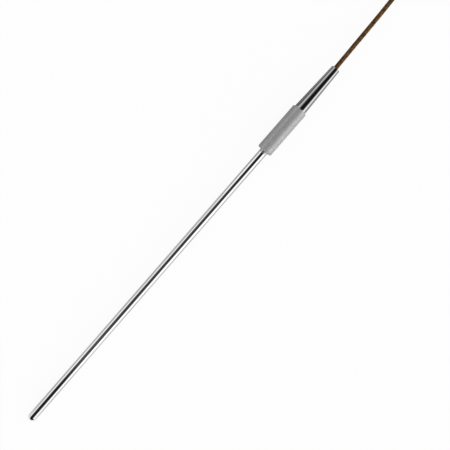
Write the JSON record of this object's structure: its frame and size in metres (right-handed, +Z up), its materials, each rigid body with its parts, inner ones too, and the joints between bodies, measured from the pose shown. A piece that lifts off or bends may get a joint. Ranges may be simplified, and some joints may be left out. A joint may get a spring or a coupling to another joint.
{
  "type": "thermocouple probe",
  "caption": "Thermocouple probe with a polished metal sheath, a matte transition sleeve, a tapered strain relief and a brown braided lead.",
  "frame": {"origin": "on the table, under the middle of the rigid probe, from its tip to the mouth of its strain relief", "axes": "+X along the probe from its closed tip to its lead, +Z up"},
  "size_m": [0.3797, 0.0244, 0.0114],
  "materials": {
    "polished_steel": "polished",
    "blasted_steel": "satin",
    "positive_alloy": "satin",
    "negative_alloy": "satin",
    "packed_ceramic": "matte",
    "seal_resin": "satin",
    "potting_resin": "matte",
    "splice_plating": "satin",
    "clear_cover": "gloss",
    "bush_rubber": "matte",
    "brown_braid": "matte",
    "yellow_insulation": "matte",
    "red_insulation": "matte",
    "black_shrink": "satin",
    "tie_plastic": "satin"
  },
  "bodies": {
    "root": {"sheath": "polished_steel", "transition_sleeve": "blasted_steel", "strain_relief": "polished_steel", "insulation_fill": "packed_ceramic", "positive_thermoelement": "positive_alloy", "negative_thermoelement": "negative_alloy", "measuring_junction": "positive_alloy", "sheath_end_seal": "seal_resin", "positive_splice": "splice_plating", "negative_splice": "splice_plating", "positive_splice_insulator": "clear_cover", "negative_splice_insulator": "clear_cover", "positive_lead_wire": "positive_alloy", "negative_lead_wire": "negative_alloy", "positive_lead_insulation": "yellow_insulation", "negative_lead_insulation": "red_insulation", "potting": "potting_resin", "cable_bush": "bush_rubber", "lead_cable": "brown_braid", "cable_hank": "brown_braid", "left_hank_tie": "tie_plastic", "right_hank_tie": "tie_plastic", "cable_end": "brown_braid", "braid_end_sleeve": "black_shrink", "positive_tail_insulation": "yellow_insulation", "negative_tail_insulation": "red_insulation", "positive_tail_wire": "positive_alloy", "negative_tail_wire": "negative_alloy"}
  },
  "joints": []
}
